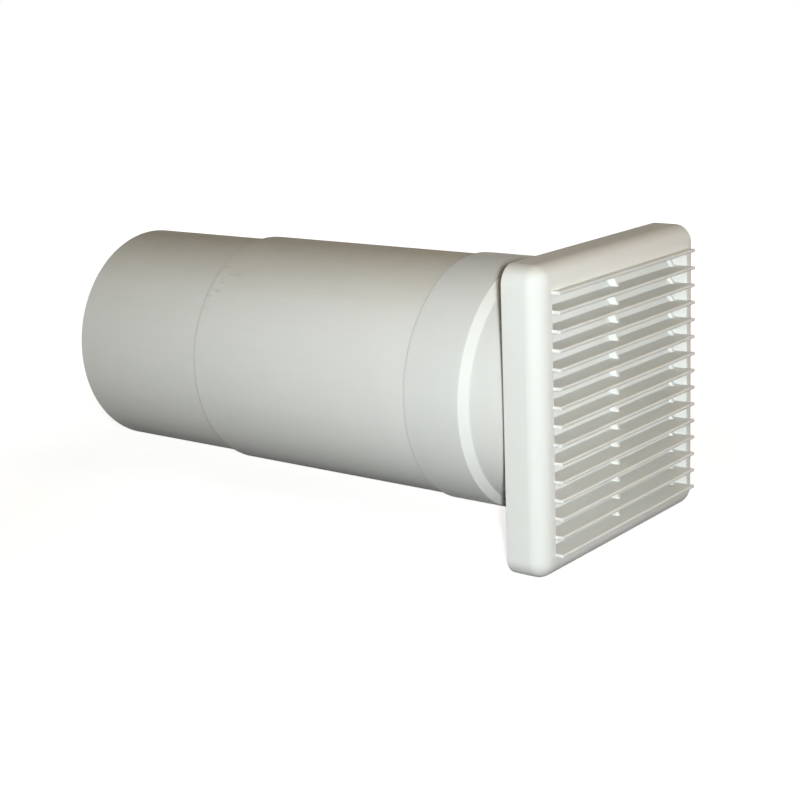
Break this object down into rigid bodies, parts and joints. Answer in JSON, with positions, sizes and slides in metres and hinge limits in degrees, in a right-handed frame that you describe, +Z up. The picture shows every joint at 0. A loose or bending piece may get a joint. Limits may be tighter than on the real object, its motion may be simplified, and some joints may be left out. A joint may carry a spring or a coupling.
{
  "type": "wall vent sleeve",
  "caption": "Square louvred wall grille with a round stepped socket behind it, an outer sleeve pushed into the socket and an inner sleeve that telescopes to suit the wall.",
  "frame": {"origin": "on the sleeve axis, in the plane of the back plate that lies against the outside of the wall", "axes": "+Y along the sleeve, into the wall and away from the grille; -Y towards the weather side; +Z up, square to the slats; X along the slats"},
  "size_m": [0.148, 0.3233, 0.148],
  "materials": {
    "white_moulding": "white moulded plastic with a soft sheen",
    "off_white_tube": "off-white extruded plastic, satin"
  },
  "bodies": {
    "wall_terminal": {"louvre_grille": "white_moulding", "spigot_socket": "white_moulding", "outer_sleeve": "off_white_tube"},
    "telescoping_end": {"inner_sleeve": "off_white_tube"}
  },
  "joints": [
    {"name": "sleeve_slide", "type": "slide", "parent": "wall_terminal", "child": "telescoping_end", "axis": [0, 1, 0], "range_m": [-0.0906, 0.0574]}
  ]
}
